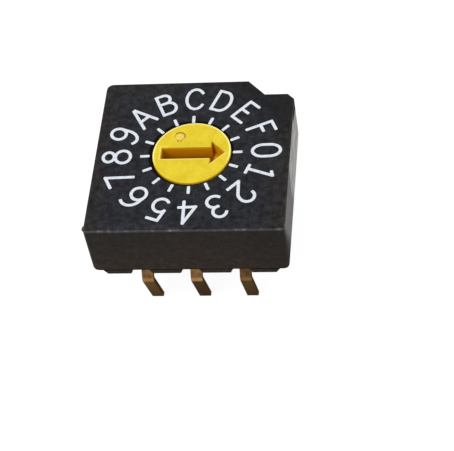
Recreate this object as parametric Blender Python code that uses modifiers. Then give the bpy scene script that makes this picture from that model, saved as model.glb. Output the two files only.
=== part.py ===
"""Sixteen-position rotary code switch for circuit boards, 10 mm square, in metres, +Z up.

The origin is under the middle of the case, in the plane of the six leg tips. The front row of
legs is at -Y, and the rotor's arrow points along +X, at position 0.
"""

import math

import bmesh
import bpy
from mathutils import Matrix, Vector

# Case, seen from above
CASE_SIZE = 0.0100
WALL = 0.0005
FRONT_CORNER_RADIUS = 0.00016
BACK_CORNER_RADIUS = 0.00036
NOTCH_DEPTH = 0.00097
NOTCH_SLANT = 0.00091
NOTCH_PAD_GAP = 0.00010
NOTCH_CHAMFER = 0.00034
TOP_EDGE_RADIUS = 0.00007

# Case, lower edge
STANDOFF_HEIGHT = 0.00030
STANDOFF_INSET = 0.00050
STANDOFF_SLANT = 0.00021
LEG_GAP_WIDTH = 0.00082
LEG_GAP_SLANT = 0.00014
LOWER_CORNER_RADIUS = 0.00034

# Thicknesses, from the underside of the case upwards
SEAL_RECESS = 0.00005
SEAL_THICKNESS = 0.00027
BASE_THICKNESS = 0.00060
CONTACT_SPACE = 0.00055
CODE_PLATE_THICKNESS = 0.00012
FLANGE_THICKNESS = 0.00045
O_RING_CORD = 0.00043
TOP_THICKNESS = 0.00055
ROTOR_PROUD = 0.00010

# Clearances
SEAT_GAP = 0.00002
MOULD_GAP = 0.00003
CASE_GAP = 0.00004
RUNNING_GAP = 0.00005
HEAD_GAP = 0.00007

# Distances inward from the inside of the case's walls
DETENT_SPACE = 0.00110
LEAF_WALL_GAP = 0.00022
LEAF_END_SPACE = 0.00045

# Rotor
HEAD_RADIUS = 0.00201
HEAD_EDGE_RADIUS = 0.00006
ARROW_TAIL = 0.00156
ARROW_NECK = 0.00097
ARROW_TIP = 0.00170
ARROW_SHAFT_WIDTH = 0.00075
ARROW_HEAD_WIDTH = 0.00150
ARROW_DEPTH = 0.00085
ARROW_EDGE = 0.00004
GATE_X = -0.00070
GATE_Y = 0.00109
GATE_RADIUS = 0.00029
GATE_STUB_RADIUS = 0.00022
GATE_DEPTH = 0.00005
GATE_STUB_DROP = 0.00001
DETENT_DEPTH = 0.00026
HUB_RADIUS = 0.00075
HUB_FLAT_DEPTH = 0.00012
PIVOT_RADIUS = 0.00050
PIVOT_CHAMFER = 0.00008
POSITIONS = 16

# Seal gland under the cover's top
COLLAR_WALL = 0.00042

# Code plate and its tracks, from the middle outwards: common, 8, 4, 2, 1
COMMON_TRACK_RADIUS = 0.00115
TRACK_GAP = 0.00012
PLATE_RIM = 0.00012
PLATE_INSET = 0.00029

# Base
BEARING_WALL = 0.00030
BEARING_HEIGHT = 0.00020
BEARING_FLOOR = 0.00015
POST_LENGTH = 0.00060
POST_END_WALL = 0.00015
POST_DEPTH = 0.00055
POST_HEIGHT = 0.00125

# Detent springs
LEAF_THICKNESS = 0.00010
LEAF_SHOULDER = 0.00040
LEAF_NOSE_HALF_WIDTH = 0.00055
LEAF_NOSE_RADIUS = 0.00020

# Terminals, in two rows 7.62 mm apart on the board
LEG_PITCH = 0.00254
ROW_INSET = 0.00119
LEG_WIDTH = 0.00060
LEG_THICKNESS = 0.00025
LEG_LENGTH = 0.00420
KNEE_DROP = 0.00145
LEG_ROOT_INSET = 0.00045
KNEE_OUTSET = 0.00045
TIP_INSET = 0.00060
LEG_BEND_RADIUS = 0.00022
PAD_LENGTH = 0.00085
PAD_WIDTH = 0.00066

# Contact springs
SPRING_THICKNESS = 0.00008
SPRING_PAD_WIDTH = 0.00050
SPRING_TIP_WIDTH = 0.00028
SPRING_PAD_LENGTH = 0.00060
SPRING_TAIL = 0.00024
SPRING_TAIL_DROP = 0.00018
SPRING_BEND_RADIUS = 0.00016

# The contact that each terminal carries: its code value, its column, its row and the angle in
# degrees at which it touches its track; a value of 0 is the common ring
CONTACTS = {
    "1": (1, -1, -1, 202.5),
    "c_front": (0, 0, -1, 270.0),
    "4": (4, 1, -1, 325.0),
    "2": (2, -1, 1, 153.0),
    "c_back": (0, 0, 1, 90.0),
    "8": (8, 1, 1, 36.0),
}

# Fineness of the curves
ROUND_STEPS = 96
SMALL_ROUND_STEPS = 48
GATE_STEPS = 32
CORNER_STEPS = 5
EDGE_STEPS = 2
BEND_STEPS = 5
RING_STEPS = 48
RING_CORD_STEPS = 12
DETENT_STEPS = 8
TRACK_STEPS = 4
MERGE_DISTANCE = 0.000001
MOULDED_SMOOTH_ANGLE = 35
SHEET_SMOOTH_ANGLE = 50
CORD_SMOOTH_ANGLE = 60

# Levels
SEAT = LEG_LENGTH
CASE_BOTTOM = SEAT + STANDOFF_HEIGHT
SEAL_BOTTOM = CASE_BOTTOM + SEAL_RECESS
SEAL_TOP = SEAL_BOTTOM + SEAL_THICKNESS
BASE_BOTTOM = SEAL_TOP + SEAT_GAP
BASE_TOP = BASE_BOTTOM + BASE_THICKNESS
PLATE_BOTTOM = BASE_TOP + CONTACT_SPACE
PLATE_TOP = PLATE_BOTTOM + CODE_PLATE_THICKNESS
FLANGE_BOTTOM = PLATE_TOP + SEAT_GAP
FLANGE_TOP = FLANGE_BOTTOM + FLANGE_THICKNESS
O_RING_BOTTOM = FLANGE_TOP + SEAT_GAP
O_RING_TOP = O_RING_BOTTOM + O_RING_CORD
CEILING = O_RING_TOP + SEAT_GAP
CASE_TOP = CEILING + TOP_THICKNESS
ROTOR_TOP = CASE_TOP + ROTOR_PROUD

# Places in plan
HALF = CASE_SIZE / 2
INNER_HALF = HALF - WALL
SHELF_Y = HALF - NOTCH_DEPTH
SHELF_END_X = LEG_PITCH + PAD_WIDTH / 2 + NOTCH_PAD_GAP + WALL
ROW = HALF - ROW_INSET
LEG_ROOT = ROW - LEG_ROOT_INSET
KNEE = ROW + KNEE_OUTSET
TIP = ROW - TIP_INSET
PAD_START = LEG_ROOT - PAD_LENGTH
WELD = LEG_ROOT - PAD_LENGTH / 2
GLAND_RADIUS = HEAD_RADIUS + 2 * RUNNING_GAP + O_RING_CORD
BEARING_RADIUS = PIVOT_RADIUS + RUNNING_GAP
DETENT_CREST_RADIUS = INNER_HALF - DETENT_SPACE
LEAF_END_X = INNER_HALF - LEAF_WALL_GAP
LEAF_HALF_LENGTH = SHELF_Y - WALL - LEAF_END_SPACE
STEP_ANGLE = 360 / POSITIONS

# The code tracks share the room from the middle of the common track to the plate's rim
TRACK_OF_VALUE = {0: 0, 8: 1, 4: 2, 2: 3, 1: 4}
PLATE_RADIUS = DETENT_CREST_RADIUS - PLATE_INSET
TRACK_ROOM = PLATE_RADIUS - PLATE_RIM - COMMON_TRACK_RADIUS
TRACK_PITCH = (TRACK_ROOM + TRACK_GAP / 2) / (max(TRACK_OF_VALUE.values()) + 1 / 2)
TRACK_WIDTH = TRACK_PITCH - TRACK_GAP

# How far cutters run past what they cut, and how many times the standoffs' height the slanted
# cuts beside them run on
MARGIN = 0.00100
SLANT_RUN = 2

# Materials: colour, roughness, metallic
BLACK_MOULDING = ("black_moulding", (0.026, 0.026, 0.030), 0.55, 0.0)
YELLOW_MOULDING = ("yellow_moulding", (0.86, 0.63, 0.035), 0.45, 0.0)
TERMINAL_METAL = ("terminal_metal", (0.33, 0.20, 0.085), 0.38, 1.0)
GOLD_PLATE = ("gold_plate", (0.88, 0.62, 0.22), 0.25, 1.0)
SPRING_STEEL = ("spring_steel", (0.55, 0.55, 0.56), 0.30, 1.0)
SEAL_RUBBER = ("seal_rubber", (0.020, 0.020, 0.020), 0.80, 0.0)
POTTING = ("potting", (0.050, 0.045, 0.042), 0.35, 0.0)


def clear_scene():
    for item in list(bpy.data.objects):
        bpy.data.objects.remove(item, do_unlink=True)


def new_collection(name):
    collection = bpy.data.collections.new(name)
    bpy.context.scene.collection.children.link(collection)
    return collection


def material(name, colour, roughness, metallic):
    found = bpy.data.materials.get(name)
    if found:
        return found
    made = bpy.data.materials.new(name)
    made.use_nodes = True
    shader = made.node_tree.nodes["Principled BSDF"]
    shader.inputs["Base Color"].default_value = (*colour, 1.0)
    shader.inputs["Roughness"].default_value = roughness
    shader.inputs["Metallic"].default_value = metallic
    made.diffuse_color = (*colour, 1.0)
    return made


def object_from(name, bm, collection):
    mesh = bpy.data.meshes.new(name)
    bm.to_mesh(mesh)
    bm.free()
    made = bpy.data.objects.new(name, mesh)
    collection.objects.link(made)
    return made


def as_part(item, finish, smooth_angle=MOULDED_SMOOTH_ANGLE):
    item.data.materials.append(material(*finish))
    item.data.shade_smooth()
    item.data.set_sharp_from_angle(angle=math.radians(smooth_angle))
    return item


def as_cutter(item):
    item.hide_render = True
    item.display_type = "WIRE"
    return item


def boolean(target, cutter, operation="DIFFERENCE"):
    modifier = target.modifiers.new(cutter.name, "BOOLEAN")
    modifier.operation = operation
    modifier.solver = "EXACT"
    modifier.object = cutter


def rounded_corner(before, here, after, radius, steps):
    """The points of an arc of this radius in the corner between two straight edges."""
    if radius <= 0:
        return [here]
    to_before = (before - here).normalized()
    to_after = (after - here).normalized()
    half_angle = to_before.angle(to_after) / 2
    centre = here + (to_before + to_after).normalized() * radius / math.sin(half_angle)
    reach = radius / math.tan(half_angle)
    first = here + to_before * reach - centre
    last = here + to_after * reach - centre
    start = math.atan2(first.y, first.x)
    sweep = math.remainder(math.atan2(last.y, last.x) - start, math.tau)
    angles = [start + sweep * step / steps for step in range(steps + 1)]
    return [centre + radius * Vector((math.cos(a), math.sin(a))) for a in angles]


def rounded_outline(corners):
    """A closed outline from corners given as x, y, radius and arc steps; one step is a chamfer."""
    places = [Vector(corner[:2]) for corner in corners]
    outline = []
    for i, (_, _, radius, steps) in enumerate(corners):
        after = places[(i + 1) % len(places)]
        outline += rounded_corner(places[i - 1], places[i], after, radius, steps)
    return outline


def bent_path(points, radius, steps=BEND_STEPS):
    """An open path with a rounded bend at each inner point."""
    places = [Vector(point) for point in points]
    path = [places[0]]
    for i in range(1, len(places) - 1):
        path += rounded_corner(places[i - 1], places[i], places[i + 1], radius, steps)
    path.append(places[-1])
    return path


def moved_inward(corners, distance):
    """The corners of an anticlockwise outline whose edges all move inward."""
    moved = []
    for i, (x, y, radius, steps) in enumerate(corners):
        here = Vector((x, y))
        along = (here - Vector(corners[i - 1][:2])).normalized()
        onward = (Vector(corners[(i + 1) % len(corners)][:2]) - here).normalized()
        normal = Vector((-along.y, along.x))
        next_normal = Vector((-onward.y, onward.x))
        point = here + (normal + next_normal) * distance / (1 + normal.dot(next_normal))
        turns_left = along.x * onward.y > along.y * onward.x
        shrinks = turns_left and radius > 0
        inner_radius = max(radius - distance, 0) if shrinks else radius
        moved.append((point.x, point.y, inner_radius, steps))
    return moved


def circle(radius, steps=ROUND_STEPS, x=0.0, y=0.0):
    turns = [math.tau * step / steps for step in range(steps)]
    return [Vector((x + radius * math.cos(a), y + radius * math.sin(a))) for a in turns]


def box_outline(x_low, x_high, y_low, y_high):
    return [
        Vector((x_low, y_low)),
        Vector((x_high, y_low)),
        Vector((x_high, y_high)),
        Vector((x_low, y_high)),
    ]


def add_prism(bm, outline, start, end, across=False):
    """Extrudes an outline along Z, or along Y where the outline is drawn in X and Z."""

    def place(u, v, w):
        return Vector((u, w, v)) if across else Vector((u, v, w))

    ring = [bm.verts.new(place(point.x, point.y, start)) for point in outline]
    face = bm.faces.new(ring)
    grown = bmesh.ops.extrude_face_region(bm, geom=[face])
    lifted = [item for item in grown["geom"] if isinstance(item, bmesh.types.BMVert)]
    bmesh.ops.translate(bm, verts=lifted, vec=place(0, 0, end - start))
    bmesh.ops.recalc_face_normals(bm, faces=bm.faces)


def prism(name, collection, outline, start, end, across=False):
    bm = bmesh.new()
    add_prism(bm, outline, start, end, across)
    return object_from(name, bm, collection)


def cutter_prism(name, outline, start, end, across=False):
    return as_cutter(prism(name, cutters, outline, start, end, across))


def loft(name, collection, rings):
    """A closed solid through outlines of equal length, each with its height."""
    bm = bmesh.new()
    rows = [[bm.verts.new((p.x, p.y, z)) for p in outline] for outline, z in rings]
    bm.faces.new(rows[0])
    bm.faces.new(rows[-1])
    for lower, upper in zip(rows, rows[1:]):
        for i in range(len(lower)):
            bm.faces.new((lower[i - 1], lower[i], upper[i], upper[i - 1]))
    bmesh.ops.recalc_face_normals(bm, faces=bm.faces)
    return object_from(name, bm, collection)


def turned(name, collection, profile, steps=ROUND_STEPS):
    """A solid of revolution; its profile starts and ends on the axis and runs downwards."""
    bm = bmesh.new()
    points = [bm.verts.new((radius, 0, height)) for radius, height in profile]
    for upper, lower in zip(points, points[1:]):
        bm.edges.new((upper, lower))
    item = object_from(name, bm, collection)
    screw = item.modifiers.new("turn", "SCREW")
    screw.steps = steps
    screw.render_steps = steps
    screw.use_merge_vertices = True
    screw.merge_threshold = MERGE_DISTANCE
    return item


def strip(name, collection, path, widths, thickness):
    """Sheet metal bent along a path in X and Z, with a width across Y at each path point."""
    bm = bmesh.new()
    sides = [
        [bm.verts.new((point.x, side * width / 2, point.y)) for side in (-1, 1)]
        for point, width in zip(path, widths)
    ]
    for here, onward in zip(sides, sides[1:]):
        bm.faces.new((here[0], onward[0], onward[1], here[1]))
    item = object_from(name, bm, collection)
    solidify = item.modifiers.new("sheet", "SOLIDIFY")
    solidify.thickness = thickness
    solidify.offset = 0
    solidify.use_even_offset = True
    return item


def case_corners():
    """The case's outline from above, anticlockwise from the front left corner."""
    return [
        (-HALF, -HALF, FRONT_CORNER_RADIUS, CORNER_STEPS),
        (HALF, -HALF, FRONT_CORNER_RADIUS, CORNER_STEPS),
        (HALF, SHELF_Y, NOTCH_CHAMFER, 1),
        (SHELF_END_X, SHELF_Y, 0, 1),
        (SHELF_END_X - NOTCH_SLANT, HALF, 0, 1),
        (-HALF, HALF, BACK_CORNER_RADIUS, CORNER_STEPS),
    ]


def cavity_outline(gap):
    """The inside of the case's walls, or what fits in it with a gap."""
    return rounded_outline(moved_inward(case_corners(), WALL + gap))


def side_relief_outline(side):
    """What is cut from the case below one side wall, in X and Z, with its rounded lower corner."""
    edge = HALF - STANDOFF_INSET
    foot = edge - SLANT_RUN * STANDOFF_SLANT
    low = CASE_BOTTOM - SLANT_RUN * STANDOFF_HEIGHT
    corners = [
        (HALF + MARGIN, CASE_BOTTOM + LOWER_CORNER_RADIUS),
        (HALF, CASE_BOTTOM + LOWER_CORNER_RADIUS),
    ]
    arc = rounded_corner(
        Vector((HALF, CASE_TOP)),
        Vector((HALF, CASE_BOTTOM)),
        Vector((0, CASE_BOTTOM)),
        LOWER_CORNER_RADIUS,
        CORNER_STEPS,
    )
    corners += [tuple(point) for point in arc[1:]]
    corners += [
        (edge, CASE_BOTTOM),
        (foot, low),
        (HALF + MARGIN, low),
    ]
    return [Vector((side * x, z)) for x, z in corners]


def leg_gap_outline(column):
    """The flared gap in the standoffs in front of one leg, in X and Z."""
    middle = column * LEG_PITCH
    half = LEG_GAP_WIDTH / 2
    low = CASE_BOTTOM - SLANT_RUN * STANDOFF_HEIGHT
    low_half = half + SLANT_RUN * LEG_GAP_SLANT
    return [
        Vector((middle - low_half, low)),
        Vector((middle + low_half, low)),
        Vector((middle + half, CASE_BOTTOM)),
        Vector((middle - half, CASE_BOTTOM)),
    ]


def build_cover():
    cover = prism("cover", parts, rounded_outline(case_corners()), SEAT, CASE_TOP)
    soften_top_edge(cover)
    cavity = cutter_prism("cavity", cavity_outline(0), SEAT - MARGIN, CEILING)
    boolean(cover, cavity)
    under_sides = cutter_prism(
        "under_side_walls",
        box_outline(-HALF - MARGIN, HALF + MARGIN, -INNER_HALF, INNER_HALF),
        SEAT - MARGIN,
        CASE_BOTTOM,
    )
    boolean(cover, under_sides)
    for side, word in ((-1, "left"), (1, "right")):
        outline = side_relief_outline(side)
        relief = cutter_prism(f"relief_{word}", outline, -HALF - MARGIN, HALF + MARGIN, True)
        boolean(cover, relief)
    for column in (-1, 0, 1):
        outline = leg_gap_outline(column)
        gap = cutter_prism(f"leg_gap_{column + 1}", outline, -HALF - MARGIN, HALF + MARGIN, True)
        boolean(cover, gap)
    collar = cutter_prism(
        "collar",
        circle(GLAND_RADIUS + COLLAR_WALL),
        FLANGE_TOP + RUNNING_GAP,
        CEILING + TOP_THICKNESS / 2,
    )
    boolean(cover, collar, "UNION")
    boolean(cover, cutter_prism("gland", circle(GLAND_RADIUS), BASE_TOP, CEILING))
    hole_radius = HEAD_RADIUS + HEAD_GAP
    hole = cutter_prism("rotor_hole", circle(hole_radius), BASE_TOP, CASE_TOP + MARGIN)
    boolean(cover, hole)
    return as_part(cover, BLACK_MOULDING)


def soften_top_edge(item):
    """Rounds the rim of the highest face."""
    bm = bmesh.new()
    bm.from_mesh(item.data)
    weight = bm.edges.layers.float.new("bevel_weight_edge")
    top = max(vert.co.z for vert in bm.verts)
    for edge in bm.edges:
        edge[weight] = float(all(top - vert.co.z < TOP_EDGE_RADIUS for vert in edge.verts))
    bm.to_mesh(item.data)
    bm.free()
    bevel = item.modifiers.new("top_edge", "BEVEL")
    bevel.limit_method = "WEIGHT"
    bevel.width = TOP_EDGE_RADIUS
    bevel.segments = EDGE_STEPS


def leg_places():
    """Each terminal's key, column centre and row direction."""
    return [(key, column * LEG_PITCH, row) for key, (_, column, row, _) in CONTACTS.items()]


def leg_hole(x, row, gap):
    """The slot in plan that one leg passes through."""
    half_width = LEG_WIDTH / 2 + gap
    half_depth = LEG_THICKNESS / 2 + gap
    middle = row * LEG_ROOT
    return box_outline(x - half_width, x + half_width, middle - half_depth, middle + half_depth)


def build_base():
    base = prism("base", parts, cavity_outline(CASE_GAP), BASE_BOTTOM, BASE_TOP)
    bearing = cutter_prism(
        "bearing",
        circle(BEARING_RADIUS + BEARING_WALL, SMALL_ROUND_STEPS),
        BASE_BOTTOM + BEARING_FLOOR,
        BASE_TOP + BEARING_HEIGHT,
    )
    boolean(base, bearing, "UNION")
    bore = cutter_prism(
        "bearing_bore",
        circle(BEARING_RADIUS, SMALL_ROUND_STEPS),
        BASE_BOTTOM + BEARING_FLOOR,
        FLANGE_TOP,
    )
    boolean(base, bore)
    slot_half = LEAF_THICKNESS / 2 + MOULD_GAP
    post_inner = LEAF_END_X - POST_DEPTH / 2
    post_outer = INNER_HALF - CASE_GAP
    for side in (-1, 1):
        for row in (-1, 1):
            name = f"post_{side + 1}_{row + 1}"
            slot_end = row * (LEAF_HALF_LENGTH + MOULD_GAP)
            y_end = slot_end + row * POST_END_WALL
            y_start = y_end - row * POST_LENGTH
            post = cutter_prism(
                name,
                sorted_box(side * post_inner, side * post_outer, y_start, y_end),
                BASE_BOTTOM + BASE_THICKNESS / 2,
                BASE_TOP + POST_HEIGHT,
            )
            boolean(base, post, "UNION")
            leaf_x = side * LEAF_END_X
            slot_start = y_start - row * MARGIN
            slot = cutter_prism(
                f"{name}_slot",
                sorted_box(leaf_x - slot_half, leaf_x + slot_half, slot_start, slot_end),
                FLANGE_BOTTOM,
                CEILING,
            )
            boolean(base, slot)
    for key, x, row in leg_places():
        half_width = PAD_WIDTH / 2 + MOULD_GAP
        inner = row * (PAD_START - MOULD_GAP)
        outer = row * (LEG_ROOT + LEG_THICKNESS / 2 + MOULD_GAP)
        pocket = cutter_prism(
            f"pad_pocket_{key}",
            sorted_box(x - half_width, x + half_width, inner, outer),
            BASE_TOP - LEG_THICKNESS - MOULD_GAP,
            BASE_TOP + MARGIN,
        )
        boolean(base, pocket)
        hole = leg_hole(x, row, MOULD_GAP)
        slot = cutter_prism(f"leg_slot_{key}", hole, BASE_BOTTOM - MARGIN, BASE_TOP)
        boolean(base, slot)
    return as_part(base, BLACK_MOULDING)


def sorted_box(x_first, x_second, y_first, y_second):
    x_low, x_high = sorted((x_first, x_second))
    y_low, y_high = sorted((y_first, y_second))
    return box_outline(x_low, x_high, y_low, y_high)


def build_bottom_seal():
    seal = prism("bottom_seal", parts, cavity_outline(CASE_GAP), SEAL_BOTTOM, SEAL_TOP)
    for key, x, row in leg_places():
        outline = leg_hole(x, row, MOULD_GAP)
        hole = cutter_prism(f"seal_hole_{key}", outline, SEAT, BASE_BOTTOM)
        boolean(seal, hole)
    return as_part(seal, POTTING)


def arrow_corners():
    shaft = ARROW_SHAFT_WIDTH / 2
    head = ARROW_HEAD_WIDTH / 2
    return [
        (-ARROW_TAIL, -shaft, 0, 1),
        (ARROW_NECK, -shaft, 0, 1),
        (ARROW_NECK, -head, 0, 1),
        (ARROW_TIP, 0, 0, 1),
        (ARROW_NECK, head, 0, 1),
        (ARROW_NECK, shaft, 0, 1),
        (-ARROW_TAIL, shaft, 0, 1),
    ]


def detent_radius(angle):
    """The flange's edge: a valley at each of the positions and a crest half way between."""
    middle = DETENT_CREST_RADIUS - DETENT_DEPTH / 2
    return middle - DETENT_DEPTH / 2 * math.cos(POSITIONS * angle)


def detent_outline():
    count = POSITIONS * DETENT_STEPS
    angles = [math.tau * step / count for step in range(count)]
    return [detent_radius(a) * Vector((math.cos(a), math.sin(a))) for a in angles]


def hub_flat_outline(gap):
    """What is cut from the hub to make its flat, which turns the code plate with the rotor."""
    flat = HUB_RADIUS - HUB_FLAT_DEPTH + gap
    return box_outline(flat, HUB_RADIUS + MARGIN, -HUB_RADIUS - MARGIN, HUB_RADIUS + MARGIN)


def build_rotor():
    shoulder = (FLANGE_BOTTOM + FLANGE_TOP) / 2
    pivot_bottom = BASE_BOTTOM + BEARING_FLOOR + RUNNING_GAP
    edge = rounded_corner(
        Vector((0, ROTOR_TOP)),
        Vector((HEAD_RADIUS, ROTOR_TOP)),
        Vector((HEAD_RADIUS, CASE_BOTTOM)),
        HEAD_EDGE_RADIUS,
        CORNER_STEPS,
    )
    profile = [(0, ROTOR_TOP)]
    profile += [tuple(point) for point in edge]
    profile += [
        (HEAD_RADIUS, shoulder),
        (HUB_RADIUS, shoulder),
        (HUB_RADIUS, PLATE_BOTTOM),
        (PIVOT_RADIUS, PLATE_BOTTOM),
        (PIVOT_RADIUS, pivot_bottom + PIVOT_CHAMFER),
        (PIVOT_RADIUS - PIVOT_CHAMFER, pivot_bottom),
        (0, pivot_bottom),
    ]
    rotor = turned("rotor", parts, profile)
    flange = cutter_prism("detent_flange", detent_outline(), FLANGE_BOTTOM, FLANGE_TOP)
    boolean(rotor, flange, "UNION")
    flat = cutter_prism("hub_flat", hub_flat_outline(0), BASE_BOTTOM, FLANGE_BOTTOM)
    boolean(rotor, flat)
    plain = rounded_outline(arrow_corners())
    flared = rounded_outline(moved_inward(arrow_corners(), -ARROW_EDGE))
    rings = [
        (plain, ROTOR_TOP - ARROW_DEPTH),
        (plain, ROTOR_TOP - ARROW_EDGE),
        (flared, ROTOR_TOP),
        (flared, ROTOR_TOP + MARGIN),
    ]
    boolean(rotor, as_cutter(loft("arrow_slot", cutters, rings)))
    gate_profile = [
        (0, MARGIN),
        (GATE_RADIUS, MARGIN),
        (GATE_RADIUS, -GATE_DEPTH),
        (GATE_STUB_RADIUS, -GATE_DEPTH),
        (GATE_STUB_RADIUS, -GATE_STUB_DROP),
        (0, -GATE_STUB_DROP),
    ]
    gate = as_cutter(turned("gate_mark", cutters, gate_profile, GATE_STEPS))
    gate.location = (GATE_X, GATE_Y, ROTOR_TOP)
    boolean(rotor, gate)
    return as_part(rotor, YELLOW_MOULDING)


def build_o_ring():
    middle_radius = (HEAD_RADIUS + GLAND_RADIUS) / 2
    bpy.ops.mesh.primitive_torus_add(
        major_radius=middle_radius,
        minor_radius=O_RING_CORD / 2,
        major_segments=RING_STEPS,
        minor_segments=RING_CORD_STEPS,
        location=(0, 0, (O_RING_BOTTOM + O_RING_TOP) / 2),
    )
    ring = bpy.context.object
    ring.name = "o_ring"
    for collection in list(ring.users_collection):
        collection.objects.unlink(ring)
    parts.objects.link(ring)
    return as_part(ring, SEAL_RUBBER, CORD_SMOOTH_ANGLE)


def window_outline(track, first_step, steps, touch_angle):
    """An arc-shaped window that leaves a contact open over some neighbouring positions."""
    radius = COMMON_TRACK_RADIUS + track * TRACK_PITCH
    start = math.radians(touch_angle + STEP_ANGLE * (first_step - 0.5))
    sweep = math.radians(STEP_ANGLE * steps)
    count = steps * TRACK_STEPS
    angles = [start + sweep * step / count for step in range(count + 1)]
    around = [Vector((math.cos(a), math.sin(a))) for a in angles]
    outer = [(radius + TRACK_WIDTH / 2) * point for point in around]
    inner = [(radius - TRACK_WIDTH / 2) * point for point in reversed(around)]
    return outer + inner


def add_code_windows(plate):
    """Opens each code track at the positions whose number lacks that track's value."""
    for key, (value, _, _, touch_angle) in CONTACTS.items():
        if value == 0:
            continue
        bm = bmesh.new()
        for first in range(0, POSITIONS, 2 * value):
            outline = window_outline(TRACK_OF_VALUE[value], first, value, touch_angle)
            add_prism(bm, outline, PLATE_BOTTOM - MARGIN, PLATE_TOP + MARGIN)
        boolean(plate, as_cutter(object_from(f"windows_{key}", bm, cutters)))


def build_code_plate():
    plate = prism("code_plate", parts, circle(PLATE_RADIUS), PLATE_BOTTOM, PLATE_TOP)
    bore_radius = HUB_RADIUS + SEAT_GAP
    bore = cutter_prism(
        "plate_bore",
        circle(bore_radius, SMALL_ROUND_STEPS),
        PLATE_BOTTOM - MARGIN,
        PLATE_TOP + MARGIN,
    )
    key_flat = cutter_prism(
        "plate_bore_flat",
        hub_flat_outline(SEAT_GAP),
        PLATE_BOTTOM - 2 * MARGIN,
        PLATE_TOP + 2 * MARGIN,
    )
    boolean(bore, key_flat)
    boolean(plate, bore)
    add_code_windows(plate)
    return as_part(plate, GOLD_PLATE)


def build_terminals():
    """Six legs with a pad each; a leg kinks outward below the case and comes back in."""
    middle = BASE_TOP - LEG_THICKNESS / 2
    beyond = LEG_THICKNESS
    slope = (KNEE - TIP) / (SEAT - KNEE_DROP)
    points = [
        (PAD_START, middle),
        (LEG_ROOT, middle),
        (LEG_ROOT, SEAT),
        (KNEE, SEAT - KNEE_DROP),
        (TIP - slope * beyond, -beyond),
    ]
    path = bent_path(points, LEG_BEND_RADIUS)
    bend_middle = LEG_ROOT - LEG_BEND_RADIUS / 2
    on_pad = [point.x < bend_middle and point.y > BASE_BOTTOM for point in path]
    widths = [PAD_WIDTH if wide else LEG_WIDTH for wide in on_pad]
    floor = cutter_prism(
        "tip_plane",
        box_outline(-HALF - MARGIN, HALF + MARGIN, -HALF - MARGIN, HALF + MARGIN),
        -MARGIN,
        0,
    )
    for key, x, row in leg_places():
        terminal = strip(f"terminal_{key}", parts, path, widths, LEG_THICKNESS)
        terminal.location = (x, 0, 0)
        terminal.rotation_euler = (0, 0, row * math.pi / 2)
        boolean(terminal, floor)
        as_part(terminal, TERMINAL_METAL, SHEET_SMOOTH_ANGLE)


def build_contacts():
    """A tapered spring welded on each terminal's pad, its crest under the track it reads."""
    pad_level = BASE_TOP + SEAT_GAP + SPRING_THICKNESS / 2
    crest_level = PLATE_BOTTOM - SEAT_GAP - SPRING_THICKNESS / 2
    for key, (value, column, row, touch_angle) in CONTACTS.items():
        radius = COMMON_TRACK_RADIUS + TRACK_OF_VALUE[value] * TRACK_PITCH
        angle = math.radians(touch_angle)
        touch = Vector((radius * math.cos(angle), radius * math.sin(angle)))
        weld = Vector((column * LEG_PITCH, row * WELD))
        reach = (touch - weld).length
        points = [
            (-SPRING_PAD_LENGTH / 2, pad_level),
            (SPRING_PAD_LENGTH / 2, pad_level),
            (reach, crest_level + crest_rise(reach, crest_level - pad_level)),
            (reach + SPRING_TAIL, crest_level - SPRING_TAIL_DROP),
        ]
        path = bent_path(points, SPRING_BEND_RADIUS)
        length = reach + SPRING_TAIL
        narrowing = SPRING_PAD_WIDTH - SPRING_TIP_WIDTH
        widths = [SPRING_PAD_WIDTH - narrowing * max(p.x, 0) / length for p in path]
        contact = strip(f"contact_{key}", parts, path, widths, SPRING_THICKNESS)
        contact.location = (weld.x, weld.y, 0)
        heading = math.atan2(touch.y - weld.y, touch.x - weld.x)
        contact.rotation_euler = (0, 0, heading)
        as_part(contact, GOLD_PLATE, SHEET_SMOOTH_ANGLE)


def crest_rise(reach, climb):
    """How far the corner of the crest's bend lies above the bend itself."""
    up = math.atan2(climb, reach - SPRING_PAD_LENGTH / 2)
    down = math.atan2(SPRING_TAIL_DROP, SPRING_TAIL)
    return SPRING_BEND_RADIUS * (1 / math.cos((up + down) / 2) - 1)


def build_detent_springs():
    """Two bowed leaves, held on edge in the base's posts, with a nose in the rotor's valleys."""
    valley = detent_radius(0)
    nose_x = valley + RUNNING_GAP + LEAF_THICKNESS / 2
    shoulder_x = LEAF_END_X - LEAF_SHOULDER
    half_angle = math.atan2(LEAF_NOSE_HALF_WIDTH, shoulder_x - nose_x)
    corner_x = nose_x - LEAF_NOSE_RADIUS * (1 / math.sin(half_angle) - 1)
    straight = LEAF_HALF_LENGTH - POST_LENGTH
    half_path = [
        (LEAF_END_X, LEAF_HALF_LENGTH),
        (LEAF_END_X, straight),
        (shoulder_x, LEAF_NOSE_HALF_WIDTH),
        (corner_x, 0),
    ]
    mirrored = [(x, -y) for x, y in reversed(half_path[:-1])]
    path = bent_path(half_path + mirrored, LEAF_NOSE_RADIUS)
    height = FLANGE_THICKNESS - 2 * SEAT_GAP
    middle = (FLANGE_BOTTOM + FLANGE_TOP) / 2
    on_edge = Matrix(((1, 0, 0), (0, 0, 1), (0, -1, 0))).to_4x4()
    for side, word in ((-1, "left"), (1, "right")):
        widths = [height] * len(path)
        leaf = strip(f"detent_spring_{word}", parts, path, widths, LEAF_THICKNESS)
        turn = Matrix.Rotation(math.pi if side < 0 else 0, 4, "Z")
        leaf.matrix_world = Matrix.Translation((0, 0, middle)) @ turn @ on_edge
        as_part(leaf, SPRING_STEEL, SHEET_SMOOTH_ANGLE)


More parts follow.
